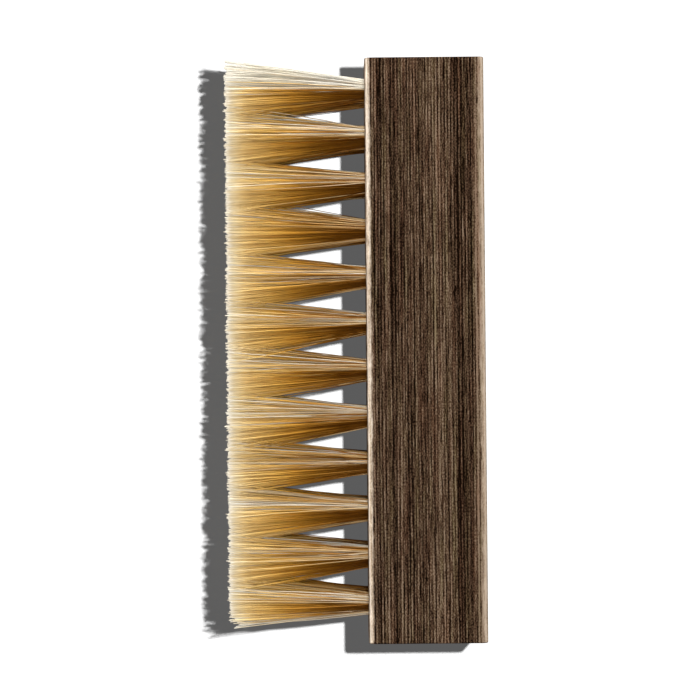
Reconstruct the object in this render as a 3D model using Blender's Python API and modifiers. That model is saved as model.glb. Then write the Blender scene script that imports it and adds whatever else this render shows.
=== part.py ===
"""Shoe brush: a solid walnut block with bunches of hog bristle set in drilled blind holes.

Metres, +Z up. The brush lies on its side, as it is put down on a bench. Its length runs
along X, the bristles point to -Y, the back of the block faces +Y and its width stands along
Z. The origin is under the middle of the brush, on the surface that it lies on.

Each bunch is folded over a short flat wire, its anchor, and is driven to the bottom of its
hole, where the anchor's two ends bite into the wood. A bunch is one solid: a plug that fills
the hole and goes round its anchor, and thick strands that fan out to the trimmed face. The
anchors are held by the wood for good, so they are part of the block's solid.
"""

import math
import random

import bmesh
import bpy
from mathutils import Matrix, Vector

# Walnut block: long edges eased by hand, ends only sawn and sanded
BLOCK_LENGTH = 0.150
BLOCK_HEIGHT = 0.0305
BLOCK_WIDTH = 0.040
BACK_EDGE_RADIUS = 0.0020
FACE_EDGE_RADIUS = 0.0013
END_EDGE_RADIUS = 0.0004

# Holes drilled square into the face, in straight columns and rows
COLUMNS = 12
ROWS = 3
END_MARGIN = 0.0090
SIDE_MARGIN = 0.0075
FIELD_SHIFT = -0.0010
HOLE_DIAMETER = 0.0060
HOLE_DEPTH = 0.0140
DRILL_POINT_ANGLE = math.radians(118)

# Flat wire anchors, on edge across the bottom of each hole
ANCHOR_THICKNESS = 0.0006
ANCHOR_HEIGHT = 0.0020
ANCHOR_BITE = 0.0008
FOLD_THICKNESS = 0.0021

# Bristle bunches
TRIM_LENGTH = 0.0357
END_FLARE = 0.0070
SIDE_CLEARANCE = 0.0005
TUFT_GAP = 0.0004
PLUG_RECESS = 0.0005
PLUG_RIM = 0.00015
STRAND_ROOT_DEPTH = 0.0010
STRAND_TIP_RADIUS = 0.00135
STRAND_PACKING = 0.27
INNER_STRANDS = 3
OUTER_STRANDS = 8
INNER_RING = 0.38
SEED = 12

# Clearance between a bunch and what it fits in or goes round
FIT = 0.0003

HOLE_SIDES = 16
PLUG_SIDES = 10
EDGE_SEGMENTS = 4
END_SEGMENTS = 2
STRAND_SIDES = 3
CUT_OVERSHOOT = 0.001
MERGE = 0.00001
END_EDGE_LIMIT = math.radians(60)
SHARP_ANGLE = math.radians(35)
GAP_STATIONS = 9

# The trimmed tips and the block's back lie the same distance from the middle of the brush
FACE_Y = TRIM_LENGTH - (TRIM_LENGTH + BLOCK_HEIGHT) / 2
HOLE_RADIUS = HOLE_DIAMETER / 2
PLUG_RADIUS = HOLE_RADIUS - FIT
STRAND_ROOT_RADIUS = STRAND_PACKING * PLUG_RADIUS
ROOT_LEVEL = -PLUG_RECESS - STRAND_ROOT_DEPTH


def pitch(length, margin, count):
    """Distance between neighbours when this many stand in a length with a margin at both ends."""
    return (length - 2 * margin) / max(count - 1, 1)


COLUMN_PITCH = pitch(BLOCK_LENGTH, END_MARGIN, COLUMNS)
ROW_PITCH = pitch(BLOCK_WIDTH, SIDE_MARGIN, ROWS)


def clear_scene():
    for item in list(bpy.data.objects):
        bpy.data.objects.remove(item, do_unlink=True)


def new_collection(name, hidden=False):
    made = bpy.data.collections.new(name)
    made.hide_render = hidden
    bpy.context.scene.collection.children.link(made)
    return made


def linear(value):
    """One sRGB channel from 0 to 1 as linear light."""
    return value / 12.92 if value <= 0.04045 else ((value + 0.055) / 1.055) ** 2.4


def new_material(name, colour, roughness, metallic=0.0):
    """A Principled material of a colour written as sRGB hex."""
    channels = [int(colour[i : i + 2], 16) / 255 for i in (0, 2, 4)]
    made = bpy.data.materials.new(name)
    made.use_nodes = True
    shader = made.node_tree.nodes["Principled BSDF"]
    shader.inputs["Base Color"].default_value = (*map(linear, channels), 1.0)
    shader.inputs["Roughness"].default_value = roughness
    shader.inputs["Metallic"].default_value = metallic
    return made


def new_object(name, data, collection, parent=None, place=(0, 0, 0)):
    made = bpy.data.objects.new(name, data)
    collection.objects.link(made)
    made.parent = parent
    made.location = place
    return made


def hide_helper(item):
    item.hide_render = True
    item.display_type = "WIRE"
    return item


def mesh_from(bm, name):
    data = bpy.data.meshes.new(name)
    bm.to_mesh(data)
    bm.free()
    return data


def box_mesh(name, size):
    bm = bmesh.new()
    bmesh.ops.create_cube(bm, size=1.0)
    bmesh.ops.scale(bm, vec=size, verts=bm.verts)
    return mesh_from(bm, name)


def profile_mesh(name, points):
    """An open line of (radius, height) points, which runs down its outer side."""
    data = bpy.data.meshes.new(name)
    steps = [(i, i + 1) for i in range(len(points) - 1)]
    data.from_pydata([(radius, 0, height) for radius, height in points], steps, [])
    return data


def add_screw(item, sides):
    """Turns the profile once round Z."""
    screw = item.modifiers.new("turn", "SCREW")
    screw.axis = "Z"
    screw.angle = math.tau
    screw.steps = sides
    screw.render_steps = sides
    screw.use_merge_vertices = True
    screw.merge_threshold = MERGE
    screw.use_smooth_shade = True


def add_boolean(item, operation, other):
    cut = item.modifiers.new(other.name, "BOOLEAN")
    cut.operation = operation
    cut.solver = "EXACT"
    cut.object = other


def add_bevel(item, name, width, segments):
    bevel = item.modifiers.new(name, "BEVEL")
    bevel.width = width
    bevel.segments = segments
    bevel.use_clamp_overlap = True
    return bevel


def repeat_over_field(item):
    """Copies an object from the first hole to all of them."""
    for name, count, step in (
        ("columns", COLUMNS, (COLUMN_PITCH, 0, 0)),
        ("rows", ROWS, (0, ROW_PITCH, 0)),
    ):
        array = item.modifiers.new(name, "ARRAY")
        array.count = count
        array.use_relative_offset = False
        array.use_constant_offset = True
        array.constant_offset_displace = step


def hole_place(row, column):
    """A hole's middle on the face, from the middle of the drilled field."""
    return Vector((
        (column - (COLUMNS - 1) / 2) * COLUMN_PITCH,
        (row - (ROWS - 1) / 2) * ROW_PITCH,
        0,
    ))


def drill_point_height(radius):
    return radius / math.tan(DRILL_POINT_ANGLE / 2)


def drill_mesh():
    """The space that the drill leaves, with its blunt point, and open past the face."""
    return profile_mesh("drilled_hole", [
        (0, CUT_OVERSHOOT),
        (HOLE_RADIUS, CUT_OVERSHOOT),
        (HOLE_RADIUS, -HOLE_DEPTH),
        (0, -HOLE_DEPTH - drill_point_height(HOLE_RADIUS)),
    ])


def plug_tip_level():
    """The lowest point of the plug, a clearance away from the cone that the drill point leaves."""
    return -HOLE_DEPTH - drill_point_height(HOLE_RADIUS) + FIT / math.sin(DRILL_POINT_ANGLE / 2)


def plug_mesh():
    """The part of the bunch inside the hole, pressed to the shape of the hole's bottom."""
    shoulder = plug_tip_level() + drill_point_height(PLUG_RADIUS)
    return profile_mesh("bristle_plug", [
        (0, -PLUG_RECESS),
        (PLUG_RADIUS, -PLUG_RECESS),
        (PLUG_RADIUS, shoulder),
        (0, plug_tip_level()),
    ])


def anchor_level():
    """The middle of the anchor, above the fold of bristle that is bent under it."""
    return plug_tip_level() + FOLD_THICKNESS + FIT + ANCHOR_HEIGHT / 2


def long_edge_radius(edge):
    return BACK_EDGE_RADIUS if edge.verts[0].co.y > 0 else FACE_EDGE_RADIUS


def block_mesh():
    """A cuboid whose four long edges carry their share of the widest edge radius."""
    bm = bmesh.new()
    bmesh.ops.create_cube(bm, size=1.0)
    bmesh.ops.scale(bm, vec=(BLOCK_LENGTH, BLOCK_HEIGHT, BLOCK_WIDTH), verts=bm.verts)
    weight = bm.edges.layers.float.new("bevel_weight_edge")
    for edge in bm.edges:
        start, end = (vert.co for vert in edge.verts)
        if abs(start.x - end.x) > BLOCK_LENGTH / 2:
            edge[weight] = long_edge_radius(edge) / max(BACK_EDGE_RADIUS, FACE_EDGE_RADIUS)
    return mesh_from(bm, "walnut_block")


def add_block(collection, helpers, face, material):
    """The walnut block, drilled, with the anchors fixed across the bottoms of its holes."""
    place = (0, FACE_Y + BLOCK_HEIGHT / 2, BLOCK_WIDTH / 2)
    block = new_object("walnut_block", block_mesh(), collection, place=place)
    long_edges = add_bevel(
        block, "long_edges", max(BACK_EDGE_RADIUS, FACE_EDGE_RADIUS), EDGE_SEGMENTS
    )
    long_edges.limit_method = "WEIGHT"
    end_edges = add_bevel(block, "end_edges", END_EDGE_RADIUS, END_SEGMENTS)
    end_edges.limit_method = "ANGLE"
    end_edges.angle_limit = END_EDGE_LIMIT

    drill = new_object("drill", drill_mesh(), helpers, face, hole_place(0, 0))
    add_screw(drill, HOLE_SIDES)
    anchor_size = (HOLE_DIAMETER + 2 * ANCHOR_BITE, ANCHOR_THICKNESS, ANCHOR_HEIGHT)
    anchor_place = hole_place(0, 0) + Vector((0, 0, anchor_level()))
    anchors = new_object("anchors", box_mesh("anchor", anchor_size), helpers, face, anchor_place)
    for helper, operation in ((drill, "DIFFERENCE"), (anchors, "UNION")):
        repeat_over_field(helper)
        hide_helper(helper)
        add_boolean(block, operation, helper)
    finish_surface(block, material)
    return block


def reach(row, column, direction):
    """How far the middle of a bunch's outer strands stands from its hole's middle, at the tips.

    Bunches fill the space up to their neighbours. Those at the ends and sides of the field
    lean outwards, and the side ones stay inside the block, so that it rests on its wood.
    """
    inner_x = (COLUMN_PITCH - TUFT_GAP) / 2
    inner_y = (ROW_PITCH - TUFT_GAP) / 2
    last_column = column == (COLUMNS - 1 if direction.x > 0 else 0)
    last_row = row == (ROWS - 1 if direction.y > 0 else 0)
    return Vector((
        (END_FLARE if last_column else inner_x) - STRAND_TIP_RADIUS,
        (SIDE_MARGIN - SIDE_CLEARANCE if last_row else inner_y) - STRAND_TIP_RADIUS,
    ))


def root_ring_radius():
    """The ring on which the outer strands stand, with their corners just inside the plug's rim."""
    half_side = STRAND_ROOT_RADIUS * math.sin(math.pi / STRAND_SIDES)
    height = STRAND_ROOT_RADIUS * math.cos(math.pi / STRAND_SIDES)
    return math.sqrt((PLUG_RADIUS - PLUG_RIM) ** 2 - half_side**2) - height


def strand_lines(row, column, chance):
    """Each strand of a bunch as its root, its tip and the angle at which it stands."""
    lines = []
    for count, share in ((INNER_STRANDS, INNER_RING), (OUTER_STRANDS, 1.0)):
        turn = chance.uniform(0, math.tau)
        for i in range(count):
            angle = turn + math.tau * i / count
            out = Vector((math.cos(angle), math.sin(angle)))
            squared = out / max(abs(out.x), abs(out.y))
            limit = reach(row, column, out)
            root = out * root_ring_radius() * share
            tip = Vector((squared.x * limit.x, squared.y * limit.y)) * share
            lines.append((root, tip, angle))
    return lines


def add_strand(bm, root, tip, angle):
    """A three-sided strand, one corner to the bunch's middle, sheared so that its tip is cut flat."""
    length = TRIM_LENGTH - ROOT_LEVEL
    lean = Matrix.Identity(4)
    lean[0][2] = (tip.x - root.x) / length
    lean[1][2] = (tip.y - root.y) / length
    corner_in = Matrix.Rotation(angle + math.pi / 2, 4, "Z")
    to_root = Matrix.Translation((root.x, root.y, ROOT_LEVEL))
    raised = Matrix.Translation((0, 0, length / 2))
    bmesh.ops.create_cone(
        bm,
        cap_ends=True,
        segments=STRAND_SIDES,
        radius1=STRAND_ROOT_RADIUS,
        radius2=STRAND_TIP_RADIUS,
        depth=length,
        matrix=to_root @ lean @ raised @ corner_in,
    )


def strands_mesh(name, lines):
    bm = bmesh.new()
    for root, tip, angle in lines:
        add_strand(bm, root, tip, angle)
    return mesh_from(bm, name)


def section(line, share):
    """The corners of a strand at a share of its length."""
    root, tip, angle = line
    middle = root.lerp(tip, share)
    radius = STRAND_ROOT_RADIUS + (STRAND_TIP_RADIUS - STRAND_ROOT_RADIUS) * share
    corners = []
    for i in range(STRAND_SIDES):
        turn = angle + math.pi + math.tau * i / STRAND_SIDES
        corners.append(middle + radius * Vector((math.cos(turn), math.sin(turn))))
    return corners


def room_between(first, second):
    """The widest straight gap between two sections, below zero where they overlap."""
    widest = -math.inf
    for one, other in ((first, second), (second, first)):
        for i, corner in enumerate(one):
            side = one[(i + 1) % len(one)] - corner
            outward = Vector((side.y, -side.x)).normalized()
            near = min((point - corner).dot(outward) for point in other)
            widest = max(widest, near)
    return widest


def least_gap(lines):
    """The least gap between any two strands of a bunch, from its root to its tips."""
    shares = [i / (GAP_STATIONS - 1) for i in range(GAP_STATIONS)]
    gaps = []
    for share in shares:
        sections = [section(line, share) for line in lines]
        for i, one in enumerate(sections):
            gaps += [room_between(one, other) for other in sections[i + 1 :]]
    return min(gaps)


def add_tufts(collection, helpers, face, material):
    """The bunches, each with the window in its plug that its anchor passes through."""
    chance = random.Random(SEED)
    window_size = (HOLE_DIAMETER, ANCHOR_THICKNESS + 2 * FIT, ANCHOR_HEIGHT + 2 * FIT)
    window_place = hole_place(0, 0) + Vector((0, 0, anchor_level()))
    window_data = box_mesh("anchor_window", window_size)
    windows = new_object("anchor_windows", window_data, helpers, face, window_place)
    repeat_over_field(windows)
    hide_helper(windows)
    plug = plug_mesh()
    gaps = []
    for row in range(ROWS):
        for column in range(COLUMNS):
            mark = f"row{row + 1}_{column + 1:02d}"
            place = hole_place(row, column)
            lines = strand_lines(row, column, chance)
            gaps.append(least_gap(lines))
            data = strands_mesh("strands_" + mark, lines)
            strands = hide_helper(new_object("strands_" + mark, data, helpers, face, place))
            tuft = new_object("tuft_" + mark, plug.copy(), collection, face, place)
            add_screw(tuft, PLUG_SIDES)
            add_boolean(tuft, "DIFFERENCE", windows)
            add_boolean(tuft, "UNION", strands)
            finish_surface(tuft, material)
    print(f"Least gap between strands: {1000 * min(gaps):.2f} mm")


def finish_surface(item, material):
    """Gives a part its material, and smooth shading up to its sharp edges."""
    item.data.materials.append(material)
    item.data.shade_smooth()
    item.data.set_sharp_from_angle(angle=SHARP_ANGLE)


def main():
    clear_scene()
    brush = new_collection("shoe_brush")
    helpers = new_collection("cutters", hidden=True)
    face = new_object("bristle_face", None, brush, place=(FIELD_SHIFT, FACE_Y, BLOCK_WIDTH / 2))
    face.rotation_euler = (math.pi / 2, 0, 0)
    walnut = new_material("walnut", "5f4b3e", 0.55)
    bristle = new_material("hog_bristle", "cfa765", 0.45)
    add_block(brush, helpers, face, walnut)
    add_tufts(brush, helpers, face, bristle)


main()
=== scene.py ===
"""Shoe brush, dressed: an oiled walnut block and the hog bristle in its drilled holes.

Metres, +Z up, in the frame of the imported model. The length runs along X, the bristles point
to -Y and the brush lies on its side. The camera looks straight down on that side, with the
picture's right at +Y. Geometry Nodes make the block, every bunch and the anchors.
"""

import math
import random

import bpy
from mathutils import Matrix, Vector


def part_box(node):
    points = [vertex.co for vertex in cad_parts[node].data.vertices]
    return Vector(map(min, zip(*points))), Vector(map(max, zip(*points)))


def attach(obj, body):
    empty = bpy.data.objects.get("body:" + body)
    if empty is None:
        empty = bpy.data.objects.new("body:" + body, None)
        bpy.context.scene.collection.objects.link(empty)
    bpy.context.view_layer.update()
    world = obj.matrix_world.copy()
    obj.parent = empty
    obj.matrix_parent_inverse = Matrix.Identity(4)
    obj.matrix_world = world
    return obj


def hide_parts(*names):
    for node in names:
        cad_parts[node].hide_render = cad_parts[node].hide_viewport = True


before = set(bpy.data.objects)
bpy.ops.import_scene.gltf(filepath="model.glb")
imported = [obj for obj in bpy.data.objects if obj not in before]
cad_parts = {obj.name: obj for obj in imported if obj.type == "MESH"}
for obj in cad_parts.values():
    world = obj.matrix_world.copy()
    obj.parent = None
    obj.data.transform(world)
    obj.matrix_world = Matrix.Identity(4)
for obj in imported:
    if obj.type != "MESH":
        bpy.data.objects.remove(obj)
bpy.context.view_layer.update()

# Millimetres to metres
MM = 0.001

# Walnut block: edges and holes
BACK_EDGE_RADIUS = 2.0 * MM
FACE_EDGE_RADIUS = 1.3 * MM
END_EDGE_RADIUS = 0.4 * MM
EDGE_STEPS = 8
END_STEPS = 3
CREASE_ANGLE = math.radians(40)
HOLE_RADIUS = 3.0 * MM
HOLE_DEPTH = 14.0 * MM
DRILL_POINT_HEIGHT = 1.8 * MM
HOLE_SIDES = 32
DRILL_START = 1.0 * MM
DRILL_TIP_SHARE = 0.02

# Growth rings of the walnut, in mm: their pitch, the pith that they go round, and their sway as
# (length, width, detail) of its waves and how far it reaches
RING_WIDTH = 0.82
RING_STRENGTH = 0.17
PITH_DISTANCE = 62
PITH_HEIGHT = 34
SWAY = (90, 7, 1.5)
SWAY_REACH = 1.2
# Layers of grain as (length, width, detail, strength), in mm
GRAIN = (
    (400, 2.2, 3.0, 0.16),
    (60, 0.50, 2.0, 0.20),
    (12, 0.30, 2.0, 0.22),
    (3.5, 0.26, 1.0, 0.14),
    (0.5, 0.25, 0.0, 0.20),
)
# Dashes as (length, width, full as far as, fading over), in mm and in shares of those sizes
PORES = ((9.0, 0.70, 0.14, 0.14), (4.0, 0.55, 0.13, 0.12))
PALE_LINES = (20.0, 0.9, 0.09, 0.10)
PORE_SHADE = -0.34
PALE_LINE_SHADE = 0.28
# Shade of the heartwood from the face to the back, where 0.5 is the middle shade; the rise at both ends, on
# the eased edges, is wear and painted highlight
ZONES = (
    (0.00, 0.72), (0.04, 0.60), (0.055, 0.42), (0.12, 0.41), (0.18, 0.55), (0.23, 0.46), (0.28, 0.52),
    (0.34, 0.42), (0.42, 0.56), (0.47, 0.42), (0.54, 0.66), (0.62, 0.68), (0.69, 0.58),
    (0.75, 0.26), (0.85, 0.32), (0.90, 0.50), (0.925, 0.82), (0.97, 0.90), (1.00, 1.00),
)
ZONE_STRENGTH = 0.8
MIDDLE_SHADE = 0.47
WALNUT_SHADES = (
    (0.12, "0c0400"), (0.22, "1f1108"), (0.30, "332418"), (0.42, "423024"), (0.545, "4d3b2c"),
    (0.66, "5b4836"), (0.77, "6a5746"), (0.90, "826e5b"),
)
# Olive and reddish patches, as (length, width, detail) in mm, from where in the noise they start
PATCHES = (30, 1.6, 1.0)
PATCH_START = (3, 8, 2)
PATCH_TINTS = ((0.30, "f6fcec"), (0.50, "ffffff"), (0.72, "fff0ea"))
# Wear of the long edges, with a highlight painted along them as well: its width in mm, its wander as
# (length, width, detail) and reach, and the share of the width where it starts to fade and where it ends
WEAR_AND_SHEEN_WIDTH = 1.4
WEAR_AND_SHEEN_WANDER = (3, 0.6, 2.0)
WEAR_AND_SHEEN_REACH = 0.9
WEAR_AND_SHEEN_FADE = (0.85, 1.55)
# Shades of the worn edges rise to a near-white that is painted highlight; the back's greyer tint is painted
# sheen
WORN_AND_SHEEN_SHADES = ((0.1, "a89078"), (0.5, "d6c2aa"), (0.9, "ecdfce"))
BACK_SHEEN_TINT = "cfc5bb"
# End grain: the depth in mm over which it ends, and its tint
END_GRAIN_FADE = (0.05, 0.45)
END_GRAIN_TINT = "b4a090"
# Relief of the open pores and the grain, and the roughness from dark wood to pale
PORE_RELIEF = -0.8
RELIEF_HEIGHT = 0.08 * MM
RELIEF_STRENGTH = 0.4
WALNUT_ROUGHNESS = (0.66, 0.50)

# Hairs of a bunch, and the bundle that they make in their hole
HAIRS = 560
HAIR_RADIUS = 0.105 * MM
HAIR_SIDES = 4
FAN_SEGMENTS = 6
TOP_BUNDLE_RADIUS = 2.88 * MM
LOWER_BUNDLE_RADIUS = 2.60 * MM
ROOT_DEPTH = 10.8 * MM
GOLDEN_ANGLE = math.pi * (3 - math.sqrt(5))
TURN_PER_SEED = 1.7
# Thickness of a hair from dark hairs to fair ones, and where it tapers and to what share
HAIR_BODY = (0.8, 1.15)
TAPER_START = 0.7
TIP_BODY = 0.95

# The fan: how far tips reach over the next bunch's and the next row's part of the trimmed face,
# how far the top row splays where nothing is above it, and how far hairs keep off the floor
TOP_OVERLAP = 0.6 * MM
LOWER_OVERLAP = 0.4 * MM
ROW_OVERLAP = 0.6 * MM
TOP_SPLAY = 2.3 * MM
FLOOR_CLEARANCE = 0.3 * MM
# From a round fan, 0, to one that fills the corners of its cell, 1
CELL_SQUARENESS = 0.95
# A fan with more flare opens nearer the wood
TOP_FLARE = 0.14
LOWER_FLARE = -0.40
# How far a row's first and last bunch reach past the end of their solids; a minus stops short
FIRST_END_FLARE = -0.5 * MM
LAST_END_FLARE = -3.0 * MM
# How far the bunches between them lean to +X, least and most
LEAN = (0.1 * MM, 1.1 * MM)

# What chance does to the shape: single tips, whole locks and a few strays move aside, hairs bow
# and wander on their way, and their cut ends lie a little back, singly and in ragged runs
LOOSENESS = {
    "Tip Scatter": 1.5 * MM, "Lock Scatter": 3.4 * MM, "Bow": 0.42 * MM, "Wander": 0.38 * MM,
    "Trim Scatter": 0.8 * MM,
}
LOCK_SIZE = 1.3 * MM
STRAY_SHARE = 0.07
STRAY_SCATTER = 3.2 * MM
WANDER_WAVES = 3.5
WANDER_SPACING = 3.7
RAGGED_SIZE = (0.9 * MM, 9.0 * MM)
RAGGED_TRIM = 2.8 * MM
# Each hair's random draws: the step of the seed, the least value and the greatest
DRAWS = {
    "tip": (0, (-1, 0, -1), (1, 0, 1)),
    "stray": (1, (-1, 0, -1), (1, 0, 1)),
    "bow": (2, (-1, 0, -1), (1, 0, 1)),
    "pick": (3, 0.0, 1.0),
    "chance": (4, 0.0, 1.0),
    "trim": (5, -1.0, 0.15),
    "tone": (7, 0.0, 1.0),
}
LOCK_SEED_STEP = 6
SEED_STEP = 100.0
FIRST_SEED = 40
BUNCH_SEED_STEP = 13

# How strongly the lock, chance and the side of the bunch set a hair's shade, from dark to white; the side's
# share is painted light and shade
LOCK_SHADE = 1.9
HAIR_SHADE = 0.75
SIDE_PAINTED_LIGHT = 1.1
LOWER_SIDE_PAINTED_LIGHT = 0.25
# Painted light and shade across each bunch: how fair the hairs are from its lit -X side to its shaded +X
# side, raised at both rims as painted light through the edges, and how far this may shift
PAINTED_SIDE_LIGHT = (
    (0.00, 0.95), (0.08, 0.68), (0.18, 0.72), (0.28, 0.86), (0.38, 0.84), (0.46, 0.66), (0.54, 0.40),
    (0.62, 0.20), (0.69, 0.04), (0.77, 0.04), (0.85, 0.26), (0.93, 0.50), (1.00, 0.46),
)
SIDE_LIGHT_SHIFT = 0.16
# The outer side of each row's first and last bunch: where across the bunch it starts and is full,
# how much fairer its hairs are, which on the first bunch is painted light on its lit side, and how much
# shorter
OUTER_SIZES = ("Outer Start", "Outer Full", "Outer Fairness And Light", "Outer Trim")
FIRST_OUTER = (0.42, 0.22, 0.85, 0.0)
LAST_OUTER = (0.80, 0.98, 0.40, 2.4 * MM)
NO_OUTER = (0.0, 1.0, 0.0, 0.0)

# Shades of hair from the root, 0, to the tip, 1
DARK_HAIR = (
    (0.00, "5c3608"), (0.20, "70440a"), (0.40, "9a681e"), (0.53, "c28c34"),
    (0.66, "dcac54"), (0.80, "ecc679"), (0.88, "ecce8e"), (0.97, "dcccaa"), (1.00, "ebe3d4"),
)
AMBER_HAIR = (
    (0.00, "a47236"), (0.25, "b8823a"), (0.42, "ca923e"), (0.58, "dca848"), (0.74, "e9c068"),
    (0.88, "ecd090"), (0.97, "decfac"), (1.00, "ebe3d4"),
)
FAIR_HAIR = (
    (0.00, "caae84"), (0.40, "d0ae76"), (0.66, "e4c07c"), (0.80, "eece8a"), (0.90, "ead2a0"),
    (0.97, "e0d2b2"), (1.00, "ebe3d4"),
)
WHITE_HAIR = ((0.00, "d6cebc"), (0.20, "d8d2c6"), (0.60, "dad2be"), (1.00, "dcd6c8"))
# Where a hair's shade turns from dark to amber, to fair and to white
AMBER_BAND = (0.38, 0.58)
FAIR_BAND = (0.60, 0.84)
WHITE_BAND = (0.95, 1.25)
# Tones that tell single hairs apart, which grow weaker from this share of the length on
HAIR_TONES = ((0.0, "c8b494"), (0.6, "fdfbf6"), (1.0, "ffffff"))
TONE_FADE_START = 0.6
TONE_AT_TIP = 0.35
# Half of a hair's own strip of the bake map, as a share of the strip
STRIP_HALF = 0.4

# Anchors of flat wire, at their depth below the face
ANCHOR_SIZE = (7.6 * MM, 2.0 * MM, 0.6 * MM)
ANCHOR_DEPTH = 12.05 * MM
# Drawing lines of the wire, to the millimetre along it and across
STEEL_LINES = (0.2, 12)
STEEL_SHADES = ((0.3, "8c8f90"), (0.7, "b4b6b5"))

# Lamps in metres, where a level of 1 shows a white card that faces the lamp as white. Point lamps
# as (place, radius, level, whether it lights the floor alone or all but the floor)
SPOT_PLACE = (-0.054, 0.147, 0.89)
SPOT_RADIUS = 10 * MM
POINT_LAMPS = {
    "shadow_lamp": (SPOT_PLACE, SPOT_RADIUS, 22.0, "INCLUDE"),
    "key_lamp": (SPOT_PLACE, SPOT_RADIUS, 0.15, "EXCLUDE"),
    "front_lamp": ((0.0, 0.0, 0.88), 50 * MM, 0.48, "EXCLUDE"),
}
# Softboxes as (place, level, width, height)
SOFTBOXES = {
    "end_softbox": ((-0.62, -0.02, 0.17), 1.50, 0.30, 0.12),
    "top_softbox": ((0.0, 0.0, 0.70), 0.10, 0.60, 0.60),
    "tips_strip": ((0.0, -0.50, 0.09), 0.85, 0.50, 0.10),
    "back_strip": ((0.0, 0.50, 0.07), 0.28, 0.50, 0.10),
    "far_fill": ((0.45, -0.05, 0.30), 0.25, 0.36, 0.12),
}
# The one lamp that shows in the gloss of the hairs and of the wood
MIRRORED = "top_softbox"
WORLD_LEVEL = 0.05
# The floor's own light, which rises to white between these distances from the brush, and its
# colours to the camera and to the light that it throws back
FLOOR_SIZE = 6.0
FLOOR_GLOW = 0.105
GLOW_REACH = (0.16, 0.60)
FLOOR_SEEN = "414141"
FLOOR_BOUNCE = "292929"

# Camera, measured on the photograph's 700 x 700 frame
CAMERA_HEIGHT = 0.89
CAMERA_MIDDLE = (-0.00025, -0.00164)
CAMERA_ROLL = math.radians(-0.50)
HALF_FRAME = 89.4 * MM
SENSOR = 36.0

# Settings of a node that mixes colours, and of one that tints one colour with another
MIXED = {"data_type": "RGBA"}
TINTED = {"data_type": "RGBA", "blend_type": "MULTIPLY"}

BLOCK_LOW, BLOCK_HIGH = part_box("walnut_block")
BLOCK_MIDDLE = (BLOCK_LOW + BLOCK_HIGH) / 2
BLOCK_SIZE = BLOCK_HIGH - BLOCK_LOW
FACE_Y = BLOCK_LOW.y
TIPS_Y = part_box("tuft_row3_06")[0].y
LIT_MIDDLE = Vector((0, 0, BLOCK_HIGH.z / 2))


def linear(value):
    """One sRGB channel from 0 to 1 as linear light."""
    return value / 12.92 if value <= 0.04045 else ((value + 0.055) / 1.055) ** 2.4


def colour(code):
    """An sRGB hex colour as a linear RGBA value."""
    return (*(linear(int(code[i : i + 2], 16) / 255) for i in (0, 2, 4)), 1.0)


def add_node(tree, kind, inputs=None, **settings):
    """Adds a node with its settings. Inputs go by name or number to a value, or to the node
    or socket that feeds them; a node feeds from its first output in use."""
    node = tree.nodes.new(kind)
    for name, value in settings.items():
        setattr(node, name, value)
    for key, value in (inputs or {}).items():
        socket = node.inputs[key] if isinstance(key, int) else next(
            item for item in node.inputs if item.enabled and item.name == key
        )
        if isinstance(value, bpy.types.Node):
            value = next(item for item in value.outputs if item.enabled)
        if isinstance(value, bpy.types.NodeSocket):
            tree.links.new(value, socket)
        else:
            socket.default_value = value
    return node


def set_ramp(node, stops, interpolation="LINEAR"):
    """Gives a Color Ramp its stops, as (position, sRGB hex) or (position, grey level)."""
    ramp = node.color_ramp
    ramp.interpolation = interpolation
    while len(ramp.elements) > 1:
        ramp.elements.remove(ramp.elements[-1])
    for i, (position, value) in enumerate(stops):
        stop = ramp.elements[0] if i == 0 else ramp.elements.new(position)
        stop.position = position
        stop.color = colour(value) if isinstance(value, str) else (value, value, value, 1.0)
    return node


def new_material(name):
    """An empty node material and its tree."""
    made = bpy.data.materials.new(name)
    made.use_nodes = True
    made.node_tree.nodes.clear()
    return made, made.node_tree


def new_tree(name, values):
    """A Geometry Nodes tree with an input for each of these values, and what its inputs give."""
    tree = bpy.data.node_groups.new(name, "GeometryNodeTree")
    for label, value in values.items():
        kind = {int: "Int", float: "Float"}.get(type(value), "Vector")
        tree.interface.new_socket(label, in_out="INPUT", socket_type="NodeSocket" + kind)
    tree.interface.new_socket("Geometry", in_out="OUTPUT", socket_type="NodeSocketGeometry")
    return tree, add_node(tree, "NodeGroupInput").outputs


def grow(name, tree, values, weighted=False):
    """Runs a Geometry Nodes tree with these values and returns its result as a plain mesh object."""
    piece = bpy.data.objects.new(name, bpy.data.meshes.new(name))
    bpy.context.scene.collection.objects.link(piece)
    modifier = piece.modifiers.new("grow", "NODES")
    modifier.node_group = tree
    for item in tree.interface.items_tree:
        if item.item_type == "SOCKET" and item.name in values:
            modifier[item.identifier] = values[item.name]
    if weighted:
        piece.modifiers.new("normals", "WEIGHTED_NORMAL").keep_sharp = True
    evaluated = piece.evaluated_get(bpy.context.evaluated_depsgraph_get())
    made = bpy.data.meshes.new_from_object(evaluated)
    piece.modifiers.clear()
    piece.data = made
    made.name = name
    return piece


def add_copies(tree, points, piece):
    """A copy of a piece on every point."""
    copies = add_node(tree, "GeometryNodeInstanceOnPoints", {"Points": points, "Instance": piece})
    return add_node(tree, "GeometryNodeRealizeInstances", {0: copies})


def add_moves(tree, place, moves):
    """A place moved along each of these directions by its reach."""
    for direction, reach in moves:
        move = add_node(tree, "ShaderNodeVectorMath", {0: direction, "Scale": reach}, operation="SCALE")
        place = add_node(tree, "ShaderNodeVectorMath", {0: place, 1: move}, operation="ADD")
    return place


# Walnut


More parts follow.
